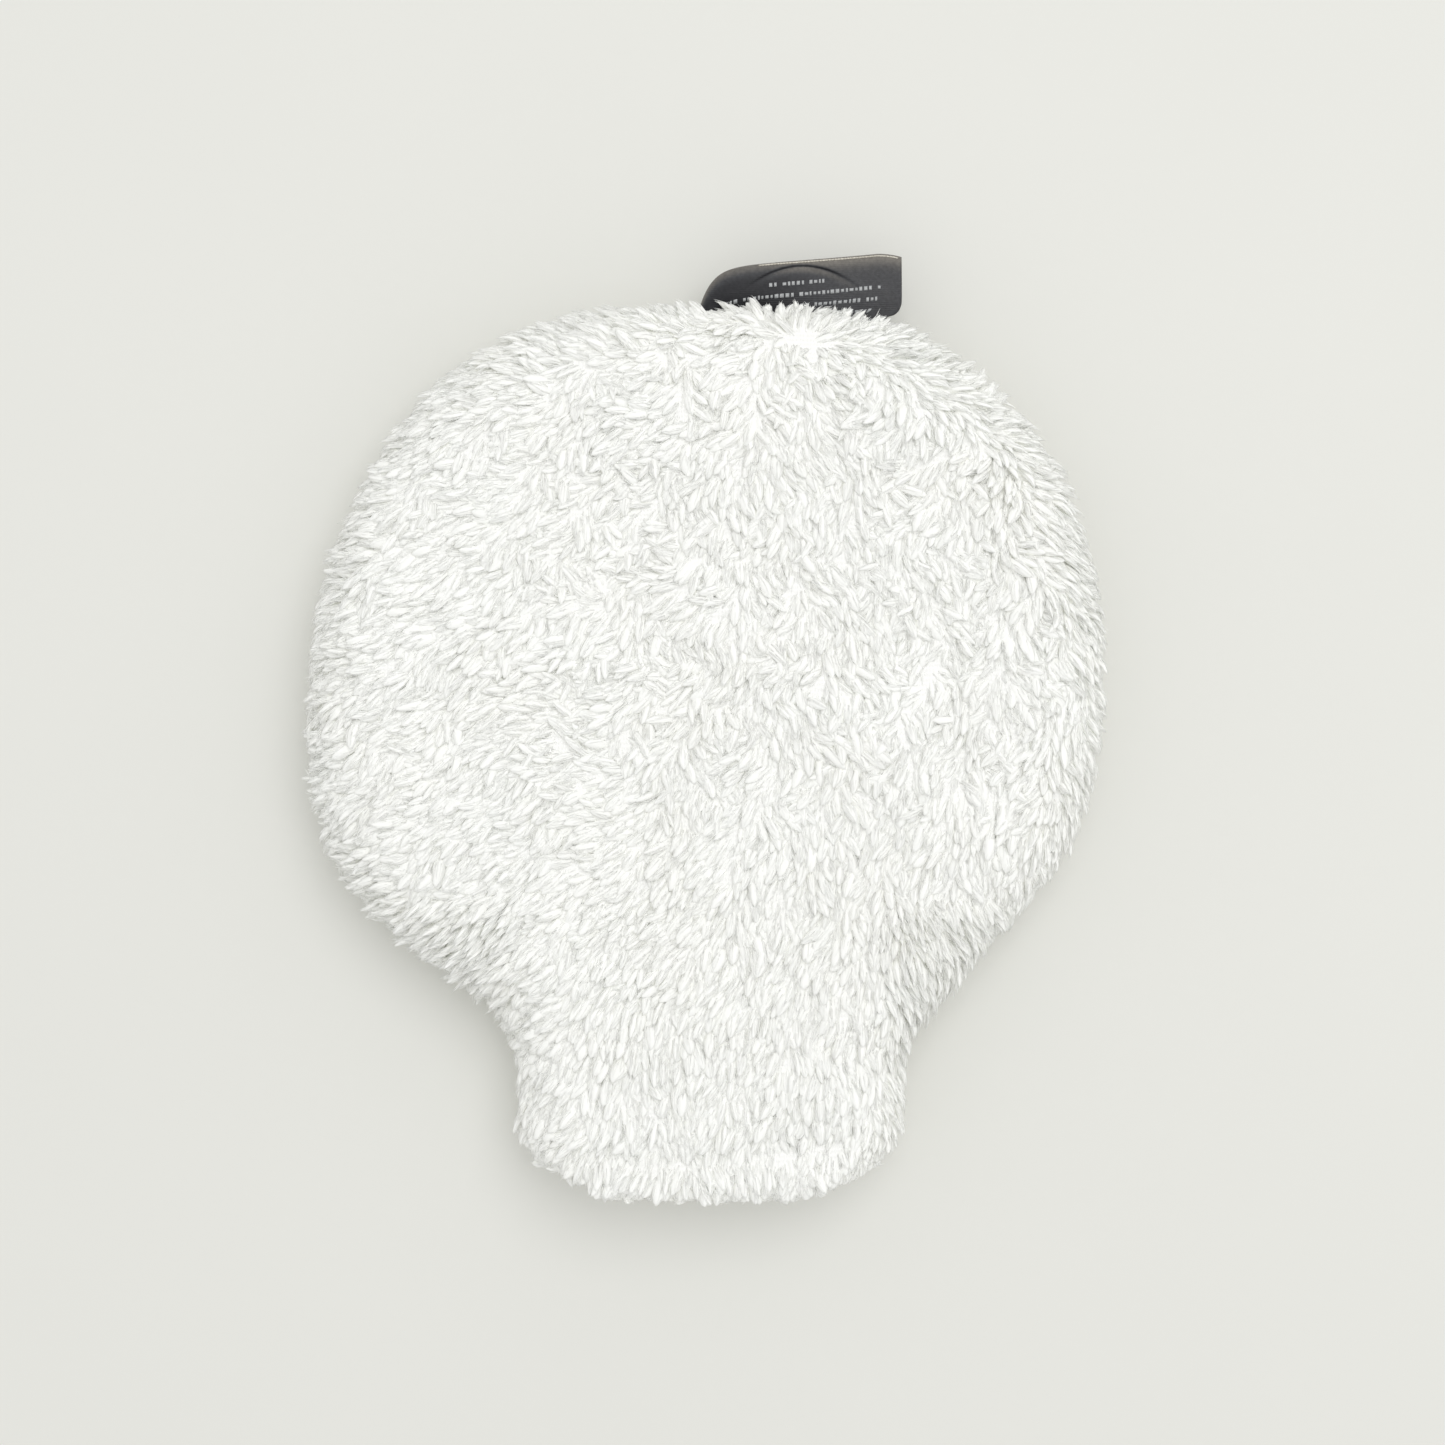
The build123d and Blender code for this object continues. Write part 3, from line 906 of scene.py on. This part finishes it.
def overlock_path(inset, start_y, reach, height, pitch):
    """A thread wound over a seam allowance, all the way round the outline."""
    edge, _ = bulb(inset, start_y, 900)
    edge = cloth_wander(np.column_stack([edge, np.zeros(len(edge))]))[:, :2]
    way = way_along(edge)
    turns = int(way[-1] / pitch)
    even = np.linspace(0, way[-1], turns * 10)
    x, y = np.interp(even, way, edge[:, 0]), np.interp(even, way, edge[:, 1])
    ahead = unit(np.gradient(np.stack([x, y], 1), axis=0))
    inward = np.stack([ahead[:, 1], -ahead[:, 0]], 1)
    turn = 2 * math.pi * even / pitch
    off = reach / 2 * (1 - np.cos(turn))
    z = seam_z + height * np.sin(turn)
    return np.column_stack([x + inward[:, 0] * off, y + inward[:, 1] * off, z])


def seam_thread(name, node, inset, start_y, material):
    """The overlock thread that joins two cloths at their edge."""
    path = overlock_path(inset, start_y, 3 * MM, 0.9 * MM, 3.2 * MM)
    thing = threads(name, node, [path], material)
    point_value(thing, "pull", np.full(len(thing.data.vertices), 0.5))
    opens_with_mouth(thing)


def hem_stitches(word, side, material):
    """Lockstitches through the turned-in hem, each a short yarn that dips into the cloth at its ends."""
    pitch, long = 4.4 * MM, 3.2 * MM
    half = hem_half - hem_roll - 1 * MM
    paths = []
    for centre in np.arange(-half + pitch / 2, half, pitch):
        t = np.linspace(-1, 1, 13)
        x = centre + t * long / 2
        z, _ = mouth_profile(hem_half, hem_height, hem_roll, x, side)
        dip = 0.8 * MM * np.abs(t) ** 4 - 0.45 * MM
        paths.append(np.column_stack([x, np.full(len(x), hem_stitch_y), z + side * dip]))
    thing = threads(f"{word}_hem_topstitch", f"{word}_hem_stitching", paths, material, twist=1.1 * MM)
    x = read_vectors(thing, "co")[:, 0].astype(float)
    point_value(thing, "pull", pull_at(hem_half - np.abs(x), side, inner_reach))
    opens_with_mouth(thing)


# ---------------------------------------------------------------- inner pieces
def lining_piece(word, side, material):
    """One half of the smooth inner bag, tucked under the hem at the mouth."""
    start_y = hem_end_y - lining_tuck
    grid, way = span(lining_inset, start_y, lining_height, lining_roll, 170, 8, 26, side, None)
    flat = grid.reshape(-1, 3)
    wrinkle = 0.45 * MM * noise(flat * [1, 0.35, 0], 9 * MM, 61) + 0.3 * MM * noise(flat, 30 * MM, 62)
    flat[:, 2] -= side * np.abs(wrinkle) * smooth(way.ravel() / (12 * MM))
    cloth = mesh_object(f"{word}_lining_cloth", flat, grid_faces(*grid.shape[:2], side > 0))
    point_value(cloth, "pull", pull_at(way.ravel(), side, inner_reach))
    weld(cloth)
    thicken(cloth, lining_thickness, -1)
    dress(cloth, material, "lining", f"{word}_lining")
    opens_with_mouth(cloth)


def foam_piece(word, side, material):
    """A thin sheet of foam between the lining and the plush."""
    start_y = hem_end_y + 0.6 * MM
    grid, _ = span(foam_inset, start_y, foam_height, foam_roll, 150, 6, 16, side, None)
    flat = grid.reshape(-1, 3)
    least = foam_height - foam_drop
    flat[:, 2] = np.where(np.abs(flat[:, 2] - seam_z) < least, seam_z + side * least, flat[:, 2])
    pad = mesh_object(f"{word}_foam_sheet", flat, grid_faces(*grid.shape[:2], side < 0))
    weld(pad)
    thicken(pad, foam_thickness, -1)
    dress(pad, material, "sponge", f"{word}_foam_pad")
    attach(pad, f"{word}_half")


def elastic_band(material):
    """The woven elastic round the mouth, between the hem and the plush, with its cords raised."""
    half, height, roll = 45 * MM, 9.5 * MM, 16 * MM
    across = half * np.sin(np.linspace(-math.pi / 2, math.pi / 2, 90))
    low_y, high_y = elastic_low.y, elastic_high.y
    ribs = 7
    t = np.linspace(0, 1, ribs * 6 + 1)
    rib = 0.16 * MM * np.abs(np.sin(math.pi * ribs * t))
    rows, pulls = [], []
    for side, xs in ((1, across), (-1, across[::-1])):
        z, way = mouth_profile(half, height, roll, xs, side)
        for x, depth, along in list(zip(xs, z, way))[:-1]:
            out = unit(np.array([x / half, (depth - seam_z) / height * 1.6]))
            ring = []
            for face, sign in ((t, 1), (t[::-1], -1)):
                bump = 0.42 * MM + (rib if sign > 0 else rib[::-1])
                y = low_y + (high_y - low_y) * face + mouth_lift(x * mouth_half / half)
                ring.append(np.column_stack([x + sign * out[0] * bump, y, depth + sign * out[1] * bump]))
            rows.append(np.vstack(ring))
            pulls.append(np.full(len(rows[-1]), pull_at(along, side, outer_reach)))
    grid = np.stack(rows)
    loop, ring = grid.shape[:2]
    i, j = np.meshgrid(np.arange(loop), np.arange(ring), indexing="ij")
    a, b = i * ring + j, i * ring + (j + 1) % ring
    c, d = (i + 1) % loop * ring + (j + 1) % ring, (i + 1) % loop * ring + j
    faces = np.stack([a, b, c, d], -1).reshape(-1, 4)
    band = mesh_object("cuff_elastic_band", grid.reshape(-1, 3), faces)
    point_value(band, "pull", np.concatenate(pulls))
    dress(band, material, "elastic", "cuff_elastic")
    opens_with_mouth(band)


# ---------------------------------------------------------------- materials
class Look:
    """A node material, built up step by step."""

    def __init__(self, name):
        self.made = bpy.data.materials.new(name)
        self.made.use_nodes = True
        self.nodes, self.link = self.made.node_tree.nodes, self.made.node_tree.links.new
        self.shader = self.nodes["Principled BSDF"]

    def texture(self, kind, **settings):
        """A texture in object space."""
        node = self.nodes.new(kind)
        for socket, value in settings.items():
            node.inputs[socket].default_value = value
        self.link(self.nodes.new("ShaderNodeTexCoord").outputs["Object"], node.inputs["Vector"])
        return node

    def wave(self, direction, scale, distortion):
        node = self.texture("ShaderNodeTexWave", Scale=scale, Distortion=distortion)
        node.bands_direction = direction
        return node.outputs["Fac"]

    def noise(self, scale, detail=3):
        return self.texture("ShaderNodeTexNoise", Scale=scale, Detail=detail).outputs["Fac"]

    def stored(self, name):
        """A number that the mesh stores at its points."""
        node = self.nodes.new("ShaderNodeAttribute")
        node.attribute_name = name
        return node.outputs["Fac"]

    def ramp(self, value, *stops):
        """Colours (r, g, b) at places from 0 to 1, as (place, colour) stops."""
        node = self.nodes.new("ShaderNodeValToRGB")
        elements = node.color_ramp.elements
        while len(elements) < len(stops):
            elements.new(0.5)
        for element, (place, colour) in zip(elements, stops):
            element.position, element.color = place, (*colour, 1)
        self.link(value, node.inputs["Fac"])
        return node.outputs["Color"]

    def multiplied(self, first, second):
        node = self.nodes.new("ShaderNodeMix")
        node.data_type, node.blend_type = "RGBA", "MULTIPLY"
        node.inputs["Factor"].default_value = 1
        self.link(first, node.inputs[6])
        self.link(second, node.inputs[7])
        return node.outputs[2]

    def bump(self, height, distance):
        node = self.nodes.new("ShaderNodeBump")
        node.inputs["Distance"].default_value = distance
        node.inputs["Strength"].default_value = 1
        self.link(height, node.inputs["Height"])
        self.link(node.outputs["Normal"], self.shader.inputs["Normal"])

    def finish(self, colour, **settings):
        """Sets the shader's colour and its constant sockets, and returns the material."""
        self.link(colour, self.shader.inputs["Base Color"])
        for socket, value in settings.items():
            self.shader.inputs[socket.replace("_", " ")].default_value = value
        return self.made


def pile_material():
    """Microfibre pile: off-white, a touch darker and warmer at its roots as painted shade deep in the pile,
    and varied from tuft to tuft.
    """
    look = Look("microfibre_pile")
    # the roots are painted a touch darker than the tips: painted shade between the locks
    root, middle, tip = (0.986, 0.988, 0.972), (0.988, 0.991, 0.977), (0.989, 0.994, 0.981)
    depth = look.ramp(look.stored("way"), (0, root), (0.45, middle), (1, tip))
    cream, plain, cool = (0.993, 0.99, 0.98), (1, 1, 0.995), (0.998, 1, 0.996)
    patch = look.ramp(look.stored("tint"), (0, cream), (0.6, plain), (1, cool))
    return look.finish(look.multiplied(depth, patch), Roughness=0.85, Specular_IOR_Level=0.2)


def knit_material(name, dark, light, scale, depth, roughness):
    """A fine knit: two crossed waves make its stitches, with slow colour drift."""
    look = Look(name)
    stitches = look.nodes.new("ShaderNodeMath")
    stitches.operation = "MULTIPLY"
    look.link(look.wave("X", scale, 1.2), stitches.inputs[0])
    look.link(look.wave("Y", scale * 0.7, 1.2), stitches.inputs[1])
    look.bump(stitches.outputs[0], depth)
    return look.finish(look.ramp(look.noise(60), (0.3, dark), (0.7, light)), Roughness=roughness)


def foam_material():
    """Open-cell foam: pale, with fine pores whose middles are painted darker as shade."""
    look = Look("open_cell_foam")
    cells = look.texture("ShaderNodeTexVoronoi", Scale=1400).outputs["Distance"]
    look.bump(cells, 0.25 * MM)
    # the darker pore colour is painted shade in the hollows of the cells
    painted_pore_shade, wall, skin = (0.58, 0.55, 0.46), (0.80, 0.78, 0.70), (0.86, 0.84, 0.77)
    return look.finish(look.ramp(cells, (0, painted_pore_shade), (0.35, wall), (1, skin)), Roughness=0.9)


def thread_material():
    """Spun polyester sewing thread."""
    look = Look("sewing_thread")
    fibres = look.noise(2600)
    look.bump(fibres, 0.05 * MM)
    colour = look.ramp(fibres, (0.3, (0.80, 0.80, 0.77)), (0.7, (0.90, 0.90, 0.87)))
    return look.finish(colour, Roughness=0.55)


def ribbon_material():
    """Charcoal satin: fine weft ribs, a soft shine and faint mottling, with painted highlight and painted
    shade laid over its charcoal from the stored values.
    """
    look = Look("charcoal_satin")
    dark, grey, bright = (0.010, 0.010, 0.013), (0.068, 0.069, 0.075), (0.22, 0.205, 0.185)
    # the ramp paints shade below the satin's charcoal grey and a painted highlight above it
    tone = look.ramp(look.stored("gloss"), (0, dark), (0.4, grey), (1, bright))
    mottle = look.ramp(look.noise(1100, detail=6), (0.3, (0.7, 0.7, 0.7)), (0.7, (1, 1, 1)))
    look.bump(look.wave("Y", 520, 0.8), 0.04 * MM)
    colour = look.multiplied(tone, mottle)
    return look.finish(colour, Roughness=0.45, Specular_IOR_Level=0.2, Sheen_Weight=0.05, Sheen_Roughness=0.4)


def ink_material(name, low, high):
    """Pale print or edging yarn on the ribbon."""
    look = Look(name)
    return look.finish(look.ramp(look.noise(1500), (0.3, low), (0.7, high)), Roughness=0.6)


def floor_material():
    """A plain pale sheet, very slightly mottled."""
    look = Look("pale_floor")
    colour = look.ramp(look.noise(6), (0.3, (0.775, 0.775, 0.74)), (0.7, (0.785, 0.785, 0.75)))
    return look.finish(colour, Roughness=0.9, Specular_IOR_Level=0.1)


# ---------------------------------------------------------------- stage, light, camera
def add_floor():
    side = 3.0
    corners = [(-side, -side, 0), (side, -side, 0), (side, side, 0), (-side, side, 0)]
    floor = mesh_object("floor", corners, [(0, 1, 2, 3)], smooth_shading=False)
    floor.data.materials.append(floor_material())


def add_light(name, place, aim, size, power):
    lamp = bpy.data.lights.new(name, "AREA")
    lamp.shape, lamp.size, lamp.energy = "DISK", size, power
    thing = add_object(name, lamp)
    thing.location = place
    thing.rotation_euler = (Vector(aim) - Vector(place)).to_track_quat("-Z", "Y").to_euler()


def add_lights():
    add_light("key", (0.45, 0.65, 2.0), (0, 0, 0), 1.7, 15.5)
    world = bpy.data.worlds.new("studio")
    bpy.context.scene.world = world
    world.use_nodes = True
    background = world.node_tree.nodes["Background"]
    background.inputs["Color"].default_value = (1, 1, 0.985, 1)
    background.inputs["Strength"].default_value = 0.76


def add_camera():
    """Straight above, framing the mitt with the floor round it."""
    lens, sensor, frame_width = 60.0, 36.0, 0.426
    camera = bpy.data.cameras.new("camera")
    camera.lens, camera.sensor_width = lens, sensor
    camera.clip_start, camera.clip_end = 0.01, 20
    thing = add_object("camera", camera)
    aim = Vector((4.3 * MM, 1.0 * MM, seam_z))
    thing.location = aim + Vector((0, 0, frame_width * lens / sensor))
    bpy.context.scene.camera = thing


# ---------------------------------------------------------------- the mitt
foam_inset = 17 * MM
foam_height = 9.6 * MM
foam_roll = 4 * MM
foam_drop = 0.8 * MM
foam_thickness = 1.9 * MM
HALVES = (("front", 1), ("back", -1))


def plush_half(word, side, seed, backing, pile):
    skin = plush_skin(f"{word}_plush_backing", side)
    tufts = grow_pile(skin, side, seed, pile)
    fill_under_pile(skin)
    whole = skin_thickness + under_pile
    thicken(skin, whole, -1, 1 - read_values(skin, "inside") * under_pile / whole)
    dress(skin, backing, "plush", f"{word}_plush_panel")
    opens_with_mouth(skin)


def make_cloth():
    knit, pile = knit_material("plush_backing_knit", *KNIT), pile_material()
    plush_half("front", 1, 101, knit, pile)
    plush_half("back", -1, 201, knit, pile)
    tricot = knit_material("lining_tricot", *TRICOT)
    for word, side in HALVES:
        lining_piece(word, side, tricot)
    foam = foam_material()
    for word, side in HALVES:
        foam_piece(word, side, foam)


def make_threads(woven):
    thread = thread_material()
    seam_thread("main_seam_overlock", "main_seam_thread", skin_inset + 1.5 * MM, rim_y + 2 * MM, thread)
    inset, start_y = lining_inset - 0.4 * MM, hem_end_y + 1 * MM
    seam_thread("lining_seam_overlock", "lining_seam_thread", inset, start_y, thread)
    for word, side in HALVES:
        hem_stitches(word, side, thread)
    finishes = {"elastic_join_stitching": thread, "label_stitching": thread, "lining_tack_tape": woven}
    for node, finish in finishes.items():
        materials = frame["nodes"][node].data.materials
        materials.clear()
        materials.append(finish)


def make_label():
    label = care_label(ribbon_material())
    rows = label_rows(ink_material("pale_print", (0.34, 0.35, 0.36), (0.50, 0.51, 0.52)))
    edging = label_edging(ink_material("pale_edging", (0.42, 0.39, 0.33), (0.78, 0.74, 0.66)))


# darker and lighter colour, scale of the stitches, their depth, roughness
KNIT = ((0.975, 0.975, 0.96), (0.985, 0.985, 0.975), 320, 0.15 * MM, 0.85)
TRICOT = ((0.80, 0.80, 0.78), (0.86, 0.86, 0.84), 500, 0.08 * MM, 0.5)
WOVEN = ((0.84, 0.84, 0.82), (0.9, 0.9, 0.88), 400, 0.1 * MM, 0.6)

make_cloth()
woven = knit_material("woven_elastic", *WOVEN)
elastic_band(woven)
make_threads(woven)
make_label()
add_floor()
add_lights()
add_camera()
scene = bpy.context.scene
scene.view_settings.view_transform = "Standard"
bounces = 28  # light goes on bouncing for long in white pile
scene.cycles.max_bounces = bounces
scene.cycles.diffuse_bounces = bounces


def corners(box):
    return [list(box[0]), list(box[1])]
